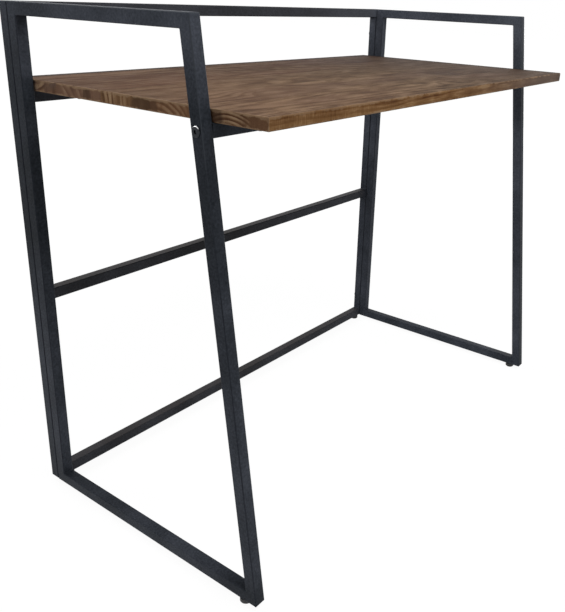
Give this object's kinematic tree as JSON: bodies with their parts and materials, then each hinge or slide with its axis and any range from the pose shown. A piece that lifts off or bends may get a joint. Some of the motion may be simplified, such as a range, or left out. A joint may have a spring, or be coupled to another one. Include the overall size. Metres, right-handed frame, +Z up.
{
  "type": "writing desk",
  "caption": "Free-standing writing desk with a wood top between two leaning steel side frames, a ladder-like back frame, a low guard rail and levelling feet.",
  "frame": {"origin": "on the floor, under the middle of the desk's overall width and depth", "axes": "+X to the right of a person sitting at the desk, +Y to the back, +Z up"},
  "size_m": [1.0494, 0.5382, 0.8695],
  "materials": {
    "frame_steel": "satin black powder coat with a faint blue tint",
    "desk_wood": "dark stained softwood, brushed and waxed",
    "fastener_steel": "dark zinc",
    "foot_plastic": "black, moulded"
  },
  "bodies": {
    "desk": {"back_bottom_rail": "frame_steel", "back_desk_rail": "frame_steel", "back_desk_screws": "fastener_steel", "back_frame_welds": "frame_steel", "back_mid_rail": "frame_steel", "back_top_rail": "frame_steel", "back_upright_left": "frame_steel", "back_upright_right": "frame_steel", "desk_board_1": "desk_wood", "desk_board_2": "desk_wood", "desk_board_3": "desk_wood", "desk_board_4": "desk_wood", "desk_board_5": "desk_wood", "foot_rivet_nuts": "fastener_steel", "frame_bolts": "fastener_steel", "frame_rivet_nuts": "fastener_steel", "front_bolts": "fastener_steel", "front_desk_rail": "frame_steel", "front_desk_screws": "fastener_steel", "front_rail_plugs": "fastener_steel", "left_bottom_rail": "frame_steel", "left_frame_welds": "frame_steel", "left_front_leg": "frame_steel", "left_rear_leg": "frame_steel", "left_top_rail": "frame_steel", "right_bottom_rail": "frame_steel", "right_frame_welds": "frame_steel", "right_front_leg": "frame_steel", "right_rear_leg": "frame_steel", "right_top_rail": "frame_steel"},
    "foot_front_left": {"foot_front_left": "foot_plastic"},
    "foot_front_right": {"foot_front_right": "foot_plastic"},
    "foot_rear_left": {"foot_rear_left": "foot_plastic"},
    "foot_rear_right": {"foot_rear_right": "foot_plastic"}
  },
  "joints": [
    {"name": "foot_front_left_screw", "type": "slide", "parent": "desk", "child": "foot_front_left", "axis": [0, 0, 1], "range_m": [-0.01, 0]},
    {"name": "foot_front_right_screw", "type": "slide", "parent": "desk", "child": "foot_front_right", "axis": [0, 0, 1], "range_m": [-0.01, 0]},
    {"name": "foot_rear_left_screw", "type": "slide", "parent": "desk", "child": "foot_rear_left", "axis": [0, 0, 1], "range_m": [-0.01, 0]},
    {"name": "foot_rear_right_screw", "type": "slide", "parent": "desk", "child": "foot_rear_right", "axis": [0, 0, 1], "range_m": [-0.01, 0]}
  ]
}
